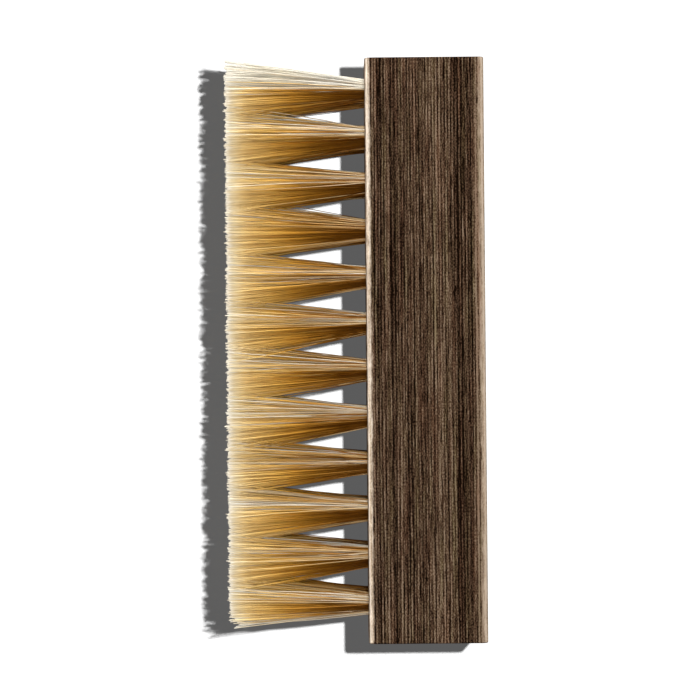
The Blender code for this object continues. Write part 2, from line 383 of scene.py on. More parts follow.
def add_streaks(tree, in_mm, length, width, detail, start=(0, 0, 0)):
    """Noise drawn out along the grain, in streaks of this length and width in mm."""
    place = add_node(tree, "ShaderNodeMapping", {
        "Vector": in_mm, "Scale": (1 / length, 1 / width, 1 / width), "Location": start,
    })
    return add_node(tree, "ShaderNodeTexNoise", {"Vector": place, "Scale": 1.0, "Detail": detail})


def add_rings(tree, in_mm):
    """Growth rings about a pith far off in -Y, nearly level with the side that faces the camera."""
    pith = add_node(tree, "ShaderNodeMapping", {
        "Vector": in_mm, "Location": (0, PITH_DISTANCE, -PITH_HEIGHT), "Scale": (0, 1, 1),
    })
    radius = add_node(tree, "ShaderNodeVectorMath", {0: pith}, operation="LENGTH").outputs["Value"]
    sway = add_streaks(tree, in_mm, *SWAY)
    swayed = add_node(tree, "ShaderNodeMath", {0: sway, 1: SWAY_REACH, 2: radius}, operation="MULTIPLY_ADD")
    phase = add_node(tree, "ShaderNodeMath", {0: swayed, 1: math.tau / RING_WIDTH}, operation="MULTIPLY")
    return add_node(tree, "ShaderNodeMath", {0: phase}, operation="SINE")


def add_grain(tree, in_mm, zones):
    """How pale the wood is between its pores: rings, layers of grain and zones of heartwood."""
    level = add_node(tree, "ShaderNodeMath", {
        0: add_rings(tree, in_mm), 1: RING_STRENGTH, 2: MIDDLE_SHADE,
    }, operation="MULTIPLY_ADD")
    for number, (length, width, detail, strength) in enumerate(GRAIN):
        streaks = add_streaks(tree, in_mm, length, width, detail, (number, 2 * number, 0))
        grain = add_node(tree, "ShaderNodeMapRange", {
            "Value": streaks, "From Min": 0.3, "From Max": 0.7, "To Min": -1.0, "To Max": 1.0,
        })
        level = add_node(tree, "ShaderNodeMath", {0: grain, 1: strength, 2: level}, operation="MULTIPLY_ADD")
    zone_level = set_ramp(add_node(tree, "ShaderNodeValToRGB", {0: zones}), ZONES, "EASE")
    zone_share = add_node(tree, "ShaderNodeMath", {0: zone_level, 1: 0.5}, operation="SUBTRACT")
    return add_node(tree, "ShaderNodeMath", {
        0: zone_share, 1: ZONE_STRENGTH, 2: level,
    }, operation="MULTIPLY_ADD")


def add_dashes(tree, in_mm):
    """Pores cut lengthwise, and thin pale lines of parenchyma, each from 0 to 1."""
    dashes = []
    for length, width, full, fading in (*PORES, PALE_LINES):
        place = add_node(tree, "ShaderNodeMapping", {
            "Vector": in_mm, "Scale": (1 / length, 1 / width, 1 / width), "Location": (length, 0, width),
        })
        cells = add_node(tree, "ShaderNodeTexVoronoi", {"Vector": place, "Scale": 1.0})
        dashes.append(add_node(tree, "ShaderNodeMapRange", {
            "Value": cells, "From Min": full, "From Max": full + fading, "To Min": 1.0, "To Max": 0.0,
        }))
    long_pores, short_pores, pale_lines = dashes
    pores = add_node(tree, "ShaderNodeMath", {0: long_pores, 1: short_pores}, operation="MAXIMUM")
    return pores, pale_lines


def add_insets(tree, axes):
    """Distance in mm in from the ends, X, from the face or the back, Y, and from the sides, Z."""
    insets = {}
    for axis, half, centre in zip("XYZ", BLOCK_SIZE / 2 / MM, BLOCK_MIDDLE / MM):
        off = add_node(tree, "ShaderNodeMath", {0: axes[axis], 1: centre}, operation="SUBTRACT")
        away = add_node(tree, "ShaderNodeMath", {0: off}, operation="ABSOLUTE")
        insets[axis] = add_node(tree, "ShaderNodeMath", {0: half, 1: away}, operation="SUBTRACT")
    return insets


def add_wear_and_sheen(tree, in_mm, insets):
    """Where the hand that eased the long edges wore them down to bare wood, and where a highlight is painted
    along them, from 0 to 1.
    """
    corner = add_node(tree, "ShaderNodeMath", {0: insets["Y"], 1: insets["Z"]}, operation="MAXIMUM")
    wander = add_streaks(tree, in_mm, *WEAR_AND_SHEEN_WANDER)
    share = add_node(tree, "ShaderNodeMath", {0: corner, 1: WEAR_AND_SHEEN_WIDTH}, operation="DIVIDE")
    share = add_node(tree, "ShaderNodeMath", {0: wander, 1: WEAR_AND_SHEEN_REACH, 2: share}, operation="MULTIPLY_ADD")
    return add_node(tree, "ShaderNodeMapRange", {
        "Value": share, "From Min": WEAR_AND_SHEEN_FADE[0], "From Max": WEAR_AND_SHEEN_FADE[1], "To Min": 1.0, "To Max": 0.0,
    })


def add_bare_wood_and_sheen(tree, level, zones):
    """The pale wood of the worn edges with a painted highlight on it, a little greyer towards the back as
    painted sheen.
    """
    bare = set_ramp(add_node(tree, "ShaderNodeValToRGB", {0: level}), WORN_AND_SHEEN_SHADES)
    tint = colour(BACK_SHEEN_TINT)
    greyer = add_node(tree, "ShaderNodeMix", {"Factor": 1.0, "A": bare, "B": tint}, **TINTED)
    return add_node(tree, "ShaderNodeMix", {"Factor": zones, "A": bare, "B": greyer}, **MIXED)


def walnut_material():
    """Oiled American walnut, open-pored, sawn with the grain and sanded: straight fine rings,
    broad heartwood bands, dark pore dashes, and pale worn wood with a painted highlight on the eased edges."""
    made, tree = new_material("oiled_walnut")
    place = add_node(tree, "ShaderNodeTexCoord").outputs["Object"]
    in_mm = add_node(tree, "ShaderNodeVectorMath", {0: place, "Scale": 1 / MM}, operation="SCALE")
    axes = add_node(tree, "ShaderNodeSeparateXYZ", {0: in_mm}).outputs
    insets = add_insets(tree, axes)
    zones = add_node(tree, "ShaderNodeMapRange", {
        "Value": axes["Y"], "From Min": FACE_Y / MM, "From Max": BLOCK_HIGH.y / MM,
    })
    pores, pale_lines = add_dashes(tree, in_mm)
    level = add_grain(tree, in_mm, zones)
    for dashes, shade in ((pale_lines, PALE_LINE_SHADE), (pores, PORE_SHADE)):
        level = add_node(tree, "ShaderNodeMath", {0: dashes, 1: shade, 2: level}, operation="MULTIPLY_ADD")

    wood = set_ramp(add_node(tree, "ShaderNodeValToRGB", {0: level}), WALNUT_SHADES)
    patches = add_streaks(tree, in_mm, *PATCHES, PATCH_START)
    tint = set_ramp(add_node(tree, "ShaderNodeValToRGB", {0: patches}), PATCH_TINTS)
    tinted = add_node(tree, "ShaderNodeMix", {"Factor": 1.0, "A": wood, "B": tint}, **TINTED)
    # Worn edges with a painted highlight along them
    side_wood = add_node(tree, "ShaderNodeMix", {
        "Factor": add_wear_and_sheen(tree, in_mm, insets), "A": tinted, "B": add_bare_wood_and_sheen(tree, level, zones),
    }, **MIXED)

    # End grain drinks more oil
    end = add_node(tree, "ShaderNodeMapRange", {
        "Value": insets["X"], "From Min": END_GRAIN_FADE[0], "From Max": END_GRAIN_FADE[1],
        "To Min": 1.0, "To Max": 0.0,
    })
    tint = colour(END_GRAIN_TINT)
    end_wood = add_node(tree, "ShaderNodeMix", {"Factor": 1.0, "A": tinted, "B": tint}, **TINTED)
    finished = add_node(tree, "ShaderNodeMix", {"Factor": end, "A": side_wood, "B": end_wood}, **MIXED)

    height = add_node(tree, "ShaderNodeMath", {0: pores, 1: PORE_RELIEF, 2: level}, operation="MULTIPLY_ADD")
    bump = add_node(tree, "ShaderNodeBump", {
        "Strength": RELIEF_STRENGTH, "Distance": RELIEF_HEIGHT, "Height": height,
    })
    roughness = add_node(tree, "ShaderNodeMapRange", {
        "Value": level, "From Min": 0.1, "From Max": 0.9,
        "To Min": WALNUT_ROUGHNESS[0], "To Max": WALNUT_ROUGHNESS[1],
    })
    shader = add_node(tree, "ShaderNodeBsdfPrincipled", {
        "Base Color": finished, "Roughness": roughness, "Normal": bump,
        "IOR": 1.45, "Specular IOR Level": 0.15,
    })
    add_node(tree, "ShaderNodeOutputMaterial", {"Surface": shader})
    return made


def add_grid(tree, given):
    """One point for every hole, on a straight grid from the first hole."""
    count = add_node(tree, "ShaderNodeMath", {0: given["Columns"], 1: given["Rows"]}, operation="MULTIPLY")
    index = add_node(tree, "GeometryNodeInputIndex")
    column = add_node(tree, "ShaderNodeMath", {0: index, 1: given["Columns"]}, operation="MODULO")
    share = add_node(tree, "ShaderNodeMath", {0: index, 1: given["Columns"]}, operation="DIVIDE")
    row = add_node(tree, "ShaderNodeMath", {0: share}, operation="FLOOR")
    steps = add_node(tree, "ShaderNodeCombineXYZ", {"X": column, "Z": row})
    hole = add_node(tree, "ShaderNodeVectorMath", {
        0: steps, 1: given["Pitch"], 2: given["First Hole"],
    }, operation="MULTIPLY_ADD")
    return add_node(tree, "GeometryNodePoints", {"Count": count, "Position": hole})


def add_section(tree, given):
    """The block's rounded section. Its height, from face to back, lies along X, and its width,
    which stands up when the section is swept, along Y."""
    outline = add_node(tree, "GeometryNodeCurvePrimitiveQuadrilateral", {
        "Width": given["Height"], "Height": given["Width"],
    })
    place = add_node(tree, "GeometryNodeInputPosition")
    across = add_node(tree, "ShaderNodeSeparateXYZ", {0: place}).outputs["X"]
    at_back = add_node(tree, "ShaderNodeMath", {0: across, 1: 0.0}, operation="GREATER_THAN")
    ease = add_node(tree, "ShaderNodeMix", {
        "Factor": at_back, "A": given["Face Edge"], "B": given["Back Edge"],
    })
    return add_node(tree, "GeometryNodeFilletCurve", {
        "Curve": outline, "Count": EDGE_STEPS, "Radius": ease,
    }, mode="POLY")


def add_bar(tree, given):
    """The section swept along the grain. The stations at its ends draw it in round the end edges."""
    index = add_node(tree, "GeometryNodeInputIndex")
    stations = 2 * (END_STEPS + 1)
    from_end = add_node(tree, "ShaderNodeMath", {0: stations - 1, 1: index}, operation="SUBTRACT")
    step = add_node(tree, "ShaderNodeMath", {0: index, 1: from_end}, operation="MINIMUM")
    turn = add_node(tree, "ShaderNodeMath", {0: step, 1: math.pi / 2 / END_STEPS}, operation="MULTIPLY")
    drawn = {}
    for wave in ("COSINE", "SINE"):
        turned = add_node(tree, "ShaderNodeMath", {0: turn}, operation=wave)
        left = add_node(tree, "ShaderNodeMath", {0: 1.0, 1: turned}, operation="SUBTRACT")
        drawn[wave] = add_node(tree, "ShaderNodeMath", {0: left, 1: given["End Edge"]}, operation="MULTIPLY")
    reach = add_node(tree, "ShaderNodeMath", {
        0: given["Half Length"], 1: drawn["COSINE"],
    }, operation="SUBTRACT")
    late = add_node(tree, "ShaderNodeMath", {0: index, 1: END_STEPS + 0.5}, operation="GREATER_THAN")
    side = add_node(tree, "ShaderNodeMath", {0: late, 1: 2.0, 2: -1.0}, operation="MULTIPLY_ADD")
    along = add_node(tree, "ShaderNodeMath", {0: reach, 1: side}, operation="MULTIPLY")
    station = add_node(tree, "ShaderNodeVectorMath", {
        0: add_node(tree, "ShaderNodeCombineXYZ", {"X": along}), 1: given["Middle"],
    }, operation="ADD")
    loss = add_node(tree, "ShaderNodeMath", {0: drawn["SINE"], 1: given["Half Height"]}, operation="DIVIDE")
    scale = add_node(tree, "ShaderNodeMath", {0: 1.0, 1: loss}, operation="SUBTRACT")
    points = add_node(tree, "GeometryNodePoints", {"Count": stations, "Position": station})
    return add_node(tree, "GeometryNodeCurveToMesh", {
        "Curve": add_node(tree, "GeometryNodePointsToCurves", {0: points}),
        "Profile Curve": add_section(tree, given), "Scale": scale, "Fill Caps": True,
    })


def add_drills(tree, given):
    """A drill in every hole, which starts outside the face and ends in the cone of its point."""
    index = add_node(tree, "GeometryNodeInputIndex")
    shoulder, tip = (
        add_node(tree, "ShaderNodeMath", {0: index, 1: before}, operation="GREATER_THAN")
        for before in (0.0, 1.0)
    )
    sunk = add_node(tree, "ShaderNodeMath", {0: given["Hole Depth"], 1: DRILL_START}, operation="ADD")
    deep = add_node(tree, "ShaderNodeMath", {
        0: shoulder, 1: sunk, 2: -DRILL_START,
    }, operation="MULTIPLY_ADD")
    deepest = add_node(tree, "ShaderNodeMath", {
        0: tip, 1: given["Point Height"], 2: deep,
    }, operation="MULTIPLY_ADD")
    axis = add_node(tree, "GeometryNodePoints", {
        "Count": 3, "Position": add_node(tree, "ShaderNodeCombineXYZ", {"Y": deepest}),
    })
    narrow = add_node(tree, "ShaderNodeMath", {
        0: tip, 1: DRILL_TIP_SHARE - 1.0, 2: 1.0,
    }, operation="MULTIPLY_ADD")
    circle = add_node(tree, "GeometryNodeCurvePrimitiveCircle", {
        "Resolution": HOLE_SIDES, "Radius": given["Hole Radius"],
    })
    drill = add_node(tree, "GeometryNodeCurveToMesh", {
        "Curve": add_node(tree, "GeometryNodePointsToCurves", {0: axis}), "Profile Curve": circle,
        "Scale": narrow, "Fill Caps": True,
    })
    return add_copies(tree, add_grid(tree, given), drill)


def block_tree(walnut, values):
    """A rounded section swept along the grain and drilled on the grid of holes."""
    tree, given = new_tree("drilled_block", values)
    cut = add_node(tree, "GeometryNodeMeshBoolean", {
        "Mesh 1": add_bar(tree, given), "Mesh 2": add_drills(tree, given),
    }, operation="DIFFERENCE", solver="EXACT")
    angle = add_node(tree, "GeometryNodeInputMeshEdgeAngle")
    crisp = add_node(tree, "ShaderNodeMath", {0: angle, 1: CREASE_ANGLE}, operation="GREATER_THAN")
    smooth = add_node(tree, "GeometryNodeSetShadeSmooth", {"Geometry": cut, "Shade Smooth": True})
    creased = add_node(tree, "GeometryNodeSetShadeSmooth", {
        "Geometry": smooth, "Selection": crisp, "Shade Smooth": False,
    }, domain="EDGE")
    painted = add_node(tree, "GeometryNodeSetMaterial", {"Geometry": creased, "Material": walnut})
    add_node(tree, "NodeGroupOutput", {0: painted})
    return tree


def make_block(holes, walnut):
    """The finished block, in place of the frame's, with the same holes."""
    values = {
        "Half Length": BLOCK_SIZE.x / 2, "Half Height": BLOCK_SIZE.y / 2,
        "Height": BLOCK_SIZE.y, "Width": BLOCK_SIZE.z, "Middle": BLOCK_MIDDLE,
        "Face Edge": FACE_EDGE_RADIUS, "Back Edge": BACK_EDGE_RADIUS, "End Edge": END_EDGE_RADIUS,
        "Hole Radius": HOLE_RADIUS, "Hole Depth": HOLE_DEPTH, "Point Height": DRILL_POINT_HEIGHT, **holes,
    }
    block = grow("walnut_block_finished", block_tree(walnut, values), values, weighted=True)
    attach(block, "root")
    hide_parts("walnut_block")


# Bristle

# What a hair holds while it is shaped; the material reads chance, which also carries painted light and
# shade, and tone afterwards
HELD_VALUES = {
    "root": "FLOAT_VECTOR", "tip": "FLOAT_VECTOR", "bow": "FLOAT_VECTOR", "ring": "FLOAT_VECTOR",
    "trim": "FLOAT", "hair": "FLOAT", "step": "FLOAT", "chance": "FLOAT", "tone": "FLOAT",
}


def hold(tree, geometry, values):
    """Keeps these values on the points, by name."""
    for name, value in values.items():
        geometry = add_node(tree, "GeometryNodeStoreNamedAttribute", {
            "Geometry": geometry, "Name": name, "Value": value,
        }, data_type=HELD_VALUES[name], domain="POINT")
    return geometry


def add_hair_shade(tree, hair, along, chance, shades, band):
    """Turns a hair's colour to these shades where its chance passes this band."""
    share = add_node(tree, "ShaderNodeMapRange", {"Value": chance, "From Min": band[0], "From Max": band[1]})
    shade = set_ramp(add_node(tree, "ShaderNodeValToRGB", {0: along}), shades)
    return add_node(tree, "ShaderNodeMix", {"Factor": share, "A": hair, "B": shade}, **MIXED)


def bristle_material():
    """Natural hog bristle, boiled and cut: amber at the root and paler to the split tip,
    with a soft gloss along each hair and no two hairs of one shade."""
    made, tree = new_material("hog_bristle")
    along, chance, tone = (
        add_node(tree, "ShaderNodeAttribute", attribute_name=name).outputs["Fac"]
        for name in ("along", "chance", "tone")
    )
    # A hair's chance also carries painted light and shade: fair and white hairs gather on each bunch's lit
    # side, dark ones on its shaded side
    hair = set_ramp(add_node(tree, "ShaderNodeValToRGB", {0: along}), DARK_HAIR)
    hair = add_hair_shade(tree, hair, along, chance, AMBER_HAIR, AMBER_BAND)
    hair = add_hair_shade(tree, hair, along, chance, FAIR_HAIR, FAIR_BAND)
    tint = set_ramp(add_node(tree, "ShaderNodeValToRGB", {0: tone}), HAIR_TONES)
    strength = add_node(tree, "ShaderNodeMapRange", {
        "Value": along, "From Min": TONE_FADE_START, "To Min": 1.0, "To Max": TONE_AT_TIP,
    })
    hair = add_node(tree, "ShaderNodeMix", {"Factor": strength, "A": hair, "B": tint}, **TINTED)
    hair = add_hair_shade(tree, hair, along, chance, WHITE_HAIR, WHITE_BAND)
    shader = add_node(tree, "ShaderNodeBsdfPrincipled", {
        "Base Color": hair, "Roughness": 0.30, "IOR": 1.55, "Specular IOR Level": 0.2,
    })
    add_node(tree, "ShaderNodeOutputMaterial", {"Surface": shader})
    return made


def add_places(tree, given, index):
    """Each hair's place in the hole, on a sunflower spiral, and the same place in the cell."""
    number = add_node(tree, "ShaderNodeMath", {0: index, 1: 0.5}, operation="ADD")
    area = add_node(tree, "ShaderNodeMath", {0: number, 1: given["Hairs"]}, operation="DIVIDE")
    share = add_node(tree, "ShaderNodeMath", {0: area}, operation="SQRT")
    first = add_node(tree, "ShaderNodeMath", {0: given["Seed"], 1: TURN_PER_SEED}, operation="MULTIPLY")
    angle = add_node(tree, "ShaderNodeMath", {0: index, 1: GOLDEN_ANGLE, 2: first}, operation="MULTIPLY_ADD")
    out = add_node(tree, "ShaderNodeCombineXYZ", {
        "X": add_node(tree, "ShaderNodeMath", {0: angle}, operation="COSINE"),
        "Z": add_node(tree, "ShaderNodeMath", {0: angle}, operation="SINE"),
    })
    bundle = add_node(tree, "ShaderNodeMath", {0: share, 1: given["Bundle Radius"]}, operation="MULTIPLY")
    root = add_node(tree, "ShaderNodeVectorMath", {0: out, "Scale": bundle}, operation="SCALE")

    sizes = add_node(tree, "ShaderNodeVectorMath", {0: out}, operation="ABSOLUTE")
    parts = add_node(tree, "ShaderNodeSeparateXYZ", {0: sizes}).outputs
    longest = add_node(tree, "ShaderNodeMath", {0: parts["X"], 1: parts["Z"]}, operation="MAXIMUM")
    stretch = add_node(tree, "ShaderNodeMath", {0: 1.0, 1: longest}, operation="DIVIDE")
    squared = add_node(tree, "ShaderNodeVectorMath", {0: out, "Scale": stretch}, operation="SCALE")
    toward = add_node(tree, "ShaderNodeMix", {
        "Factor": CELL_SQUARENESS, "A": out, "B": squared,
    }, data_type="VECTOR")
    spread = add_node(tree, "ShaderNodeVectorMath", {0: toward, "Scale": share}, operation="SCALE")
    cell = add_node(tree, "ShaderNodeVectorMath", {
        0: spread, 1: given["Cell Half"], 2: given["Cell Middle"],
    }, operation="MULTIPLY_ADD")
    return root, cell


def add_draws(tree, seeds):
    """What chance draws for each hair, by name."""
    draws = {}
    for name, (step, low, high) in DRAWS.items():
        draws[name] = add_node(tree, "FunctionNodeRandomValue", {
            "Min": low, "Max": high, "Seed": seeds[step],
        }, data_type="FLOAT" if isinstance(low, float) else "FLOAT_VECTOR")
    return draws


def add_tips(tree, given, cell, draws, lock):
    """Where each tip lies: chance moves it a little, whole locks together, and a few strays far."""
    strays = add_node(tree, "ShaderNodeMath", {0: draws["pick"], 1: STRAY_SHARE}, operation="LESS_THAN")
    reach = add_node(tree, "ShaderNodeMath", {0: strays, 1: given["Stray Scatter"]}, operation="MULTIPLY")
    lean = add_node(tree, "ShaderNodeVectorMath", {
        0: lock.outputs["Color"], 1: (0.5, 0.5, 0.5),
    }, operation="SUBTRACT")
    return add_moves(tree, cell, (
        (draws["tip"], given["Tip Scatter"]), (draws["stray"], reach), (lean, given["Lock Scatter"]),
    ))


def add_trim(tree, given, draws, tip, lock_shift, outer):
    """How far each hair stands out of the wood: ragged in runs, and shorter at an outer side."""
    trim = add_node(tree, "ShaderNodeMath", {
        0: draws["trim"], 1: given["Trim Scatter"], 2: given["Trim Length"],
    }, operation="MULTIPLY_ADD")
    place = add_node(tree, "ShaderNodeVectorMath", {
        0: tip, 1: (1 / RAGGED_SIZE[0], 0, 1 / RAGGED_SIZE[1]),
    }, operation="MULTIPLY")
    place = add_node(tree, "ShaderNodeVectorMath", {0: place, 1: lock_shift}, operation="ADD")
    ragged = add_node(tree, "ShaderNodeTexNoise", {"Vector": place, "Scale": 1.0, "Detail": 1.0})
    uneven = add_node(tree, "ShaderNodeMath", {0: ragged, 1: 0.5}, operation="SUBTRACT")
    trim = add_node(tree, "ShaderNodeMath", {0: uneven, 1: RAGGED_TRIM, 2: trim}, operation="MULTIPLY_ADD")
    shorter = add_node(tree, "ShaderNodeMath", {0: outer, 1: given["Outer Trim"]}, operation="MULTIPLY")
    return add_node(tree, "ShaderNodeMath", {0: trim, 1: shorter}, operation="SUBTRACT")


def add_chance_and_light(tree, given, draws, lock, across, outer):
    """How fair each hair is: by chance, by its lock, by its side as painted light and shade, and by an outer
    side.
    """
    side_light = set_ramp(add_node(tree, "ShaderNodeValToRGB", {0: across}), PAINTED_SIDE_LIGHT)
    chance = 0.5
    for shade, strength in (
        (draws["chance"], HAIR_SHADE), (lock.outputs["Fac"], LOCK_SHADE), (side_light, given["Side Painted Light"]),
    ):
        shift = add_node(tree, "ShaderNodeMath", {0: shade, 1: 0.5}, operation="SUBTRACT")
        chance = add_node(tree, "ShaderNodeMath", {
            0: shift, 1: strength, 2: chance,
        }, operation="MULTIPLY_ADD")
    return add_node(tree, "ShaderNodeMath", {
        0: outer, 1: given["Outer Fairness And Light"], 2: chance,
    }, operation="MULTIPLY_ADD")


def add_points(tree, given):
    """One point for each hair, which holds where its root and tip lie, its bow, and its shade with the
    painted side light in it.
    """
    index = add_node(tree, "GeometryNodeInputIndex")
    root, cell = add_places(tree, given, index)
    seeds = [
        add_node(tree, "ShaderNodeMath", {0: given["Seed"], 1: SEED_STEP * i}, operation="ADD")
        for i in range(len(DRAWS) + 1)
    ]
    draws = add_draws(tree, seeds)
    lock_shift = add_node(tree, "ShaderNodeCombineXYZ", {"Y": seeds[LOCK_SEED_STEP]})
    lock_place = add_moves(tree, lock_shift, [(root, 1 / LOCK_SIZE)])
    lock = add_node(tree, "ShaderNodeTexNoise", {"Vector": lock_place, "Scale": 1.0, "Detail": 1.0})
    tip = add_tips(tree, given, cell, draws, lock)

    # Across the bunch from -X to +X, shifted a little for each bunch, where the painted side light and the
    # outer sides fall
    across = add_node(tree, "ShaderNodeSeparateXYZ", {0: root}).outputs["X"]
    across = add_node(tree, "ShaderNodeMath", {0: across, 1: given["Bundle Radius"]}, operation="DIVIDE")
    across = add_node(tree, "ShaderNodeMath", {0: across, 1: given["Side Light Shift"]}, operation="ADD")
    across = add_node(tree, "ShaderNodeMapRange", {"Value": across, "From Min": -1.0})
    outer = add_node(tree, "ShaderNodeMapRange", {
        "Value": across, "From Min": given["Outer Start"], "From Max": given["Outer Full"],
    })
    bow = add_node(tree, "ShaderNodeVectorMath", {0: draws["bow"], "Scale": given["Bow"]}, operation="SCALE")
    trim = add_trim(tree, given, draws, tip, lock_shift, outer)
    chance = add_chance_and_light(tree, given, draws, lock, across, outer)
    return hold(tree, add_node(tree, "GeometryNodePoints", {"Count": given["Hairs"]}), {
        "root": root, "tip": tip, "bow": bow, "trim": trim, "chance": chance, "hair": index,
        "tone": draws["tone"],
    })


def add_straight_hair(tree):
    """One straight hair of unit size, which knows where on it each point lies."""
    hair = add_node(tree, "GeometryNodeMeshCylinder", {
        "Vertices": HAIR_SIDES, "Side Segments": FAN_SEGMENTS + 1, "Radius": 1.0, "Depth": 1.0,
    }, fill_type="NGON")
    place = add_node(tree, "GeometryNodeInputPosition")
    place = add_node(tree, "ShaderNodeSeparateXYZ", {0: place}).outputs
    step = add_node(tree, "ShaderNodeMath", {
        0: place["Z"], 1: FAN_SEGMENTS + 1.0, 2: (FAN_SEGMENTS + 1) / 2 - 1.0,
    }, operation="MULTIPLY_ADD")
    ring = add_node(tree, "ShaderNodeCombineXYZ", {"X": place["X"], "Z": place["Y"]})
    return hold(tree, hair, {"step": step, "ring": ring})


def add_spine(tree, given, held, along):
    """The middle of each hair as it goes from its root to its tip, bowed and wandering."""
    left = add_node(tree, "ShaderNodeMath", {0: 1.0, 1: along}, operation="SUBTRACT")
    flare = add_node(tree, "ShaderNodeMath", {0: left, 1: given["Flare"], 2: 1.0}, operation="MULTIPLY_ADD")
    fan = add_node(tree, "ShaderNodeMath", {0: along, 1: flare}, operation="MULTIPLY")
    spine = add_node(tree, "ShaderNodeMix", {
        "Factor": fan, "A": held["root"], "B": held["tip"],
    }, data_type="VECTOR", clamp_factor=False)
    arch = add_node(tree, "ShaderNodeMath", {0: along, 1: math.pi}, operation="MULTIPLY")
    arch = add_node(tree, "ShaderNodeMath", {0: arch}, operation="SINE")
    place = add_node(tree, "ShaderNodeCombineXYZ", {
        "X": add_node(tree, "ShaderNodeMath", {0: along, 1: WANDER_WAVES}, operation="MULTIPLY"),
        "Y": add_node(tree, "ShaderNodeMath", {0: held["hair"], 1: WANDER_SPACING}, operation="MULTIPLY"),
        "Z": given["Seed"],
    })
    noise = add_node(tree, "ShaderNodeTexNoise", {"Vector": place, "Scale": 1.0, "Detail": 0.0})
    lean = add_node(tree, "ShaderNodeVectorMath", {
        0: noise.outputs["Color"], 1: (0.5, 0.5, 0.5),
    }, operation="SUBTRACT")
    wander = add_node(tree, "ShaderNodeMath", {0: along, 1: given["Wander"]}, operation="MULTIPLY")
    spine = add_moves(tree, spine, ((held["bow"], arch), (lean, wander)))

    # Out of the wood by its trim, or down into its hole, and clear of the floor
    below = add_node(tree, "ShaderNodeMath", {
        0: held["step"], 1: -1.0,
    }, operation="MULTIPLY", use_clamp=True)
    raised = add_node(tree, "ShaderNodeMath", {0: along, 1: held["trim"]}, operation="MULTIPLY")
    sunk = add_node(tree, "ShaderNodeMath", {0: below, 1: given["Root Depth"]}, operation="MULTIPLY")
    level = add_node(tree, "ShaderNodeMath", {0: sunk, 1: raised}, operation="SUBTRACT")
    spine = add_node(tree, "ShaderNodeVectorMath", {0: spine, 1: given["Hole Middle"]}, operation="ADD")
    parts = add_node(tree, "ShaderNodeSeparateXYZ", {0: spine}).outputs
    face = add_node(tree, "ShaderNodeSeparateXYZ", {0: given["Hole Middle"]}).outputs["Y"]
    out = add_node(tree, "ShaderNodeMath", {0: face, 1: level}, operation="ADD")
    up = add_node(tree, "ShaderNodeMath", {0: parts["Z"], 1: given["Floor Clearance"]}, operation="MAXIMUM")
    return add_node(tree, "ShaderNodeCombineXYZ", {"X": parts["X"], "Y": out, "Z": up})


def add_thickness(tree, given, held, along):
    """The radius of each hair, which tapers a little to its tip."""
    taper = add_node(tree, "ShaderNodeMapRange", {
        "Value": along, "From Min": TAPER_START, "From Max": 1.0, "To Min": 1.0, "To Max": TIP_BODY,
    })
    body = add_node(tree, "ShaderNodeMapRange", {
        "Value": held["chance"], "To Min": HAIR_BODY[0], "To Max": HAIR_BODY[1],
    })
    thick = add_node(tree, "ShaderNodeMath", {0: taper, 1: body}, operation="MULTIPLY")
    return add_node(tree, "ShaderNodeMath", {0: thick, 1: given["Hair Radius"]}, operation="MULTIPLY")


def add_strips(tree, given, held, along):
    """A strip of the bake map for each hair, side by side."""
    side = add_node(tree, "ShaderNodeSeparateXYZ", {0: held["ring"]}).outputs["X"]
    strip = add_node(tree, "ShaderNodeMath", {0: side, 1: STRIP_HALF, 2: 0.5}, operation="MULTIPLY_ADD")
    strip = add_node(tree, "ShaderNodeMath", {0: strip, 1: held["hair"]}, operation="ADD")
    strip = add_node(tree, "ShaderNodeMath", {0: strip, 1: given["Hairs"]}, operation="DIVIDE")
    return add_node(tree, "ShaderNodeCombineXYZ", {"X": strip, "Y": along})


def bunch_tree(bristle, values):
    """Hairs that stand side by side in their hole and fan out to their cell of the trimmed face."""
    tree, given = new_tree("bristle_bunch", values)
    hairs = add_copies(tree, add_points(tree, given), add_straight_hair(tree))

    # Each point goes to its place on its own hair
    held = {
        name: add_node(tree, "GeometryNodeInputNamedAttribute", {"Name": name}, data_type=kind)
        for name, kind in HELD_VALUES.items() if name != "tone"
    }
    along = add_node(tree, "ShaderNodeMath", {
        0: held["step"], 1: FAN_SEGMENTS,
    }, operation="DIVIDE", use_clamp=True)
    spine = add_spine(tree, given, held, along)
    place = add_moves(tree, spine, [(held["ring"], add_thickness(tree, given, held, along))])
    hairs = add_node(tree, "GeometryNodeSetPosition", {"Geometry": hairs, "Position": place})
    for name, value, kind, domain in (
        ("along", along, "FLOAT", "POINT"),
        ("OFBake", add_strips(tree, given, held, along), "FLOAT2", "CORNER"),
    ):
        hairs = add_node(tree, "GeometryNodeStoreNamedAttribute", {
            "Geometry": hairs, "Name": name, "Value": value,
        }, data_type=kind, domain=domain)
    for name in ("root", "tip", "bow", "trim", "hair", "step", "ring"):
        hairs = add_node(tree, "GeometryNodeRemoveAttribute", {"Geometry": hairs, "Name": name})
    hairs = add_node(tree, "GeometryNodeSetShadeSmooth", {"Geometry": hairs, "Shade Smooth": True})
    painted = add_node(tree, "GeometryNodeSetMaterial", {"Geometry": hairs, "Material": bristle})
    add_node(tree, "NodeGroupOutput", {0: painted})
    return tree


def tuft_name(row, column):
    return f"tuft_row{row}_{column:02d}"


def hole_middle(name):
    """The middle of a bunch's hole on the face, read from the part of its node that fills the hole."""
    inside = [v.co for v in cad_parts[name].data.vertices if v.co.y > FACE_Y + HOLE_RADIUS]
    xs, zs = [co.x for co in inside], [co.z for co in inside]
    return Vector(((min(xs) + max(xs)) / 2, FACE_Y, (min(zs) + max(zs)) / 2))


def count_bunches():
    """How many rows and columns of bunches the frame holds."""
    marks = [name.split("row")[1].split("_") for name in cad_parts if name.startswith("tuft_row")]
    return max(int(row) for row, _ in marks), max(int(column) for _, column in marks)


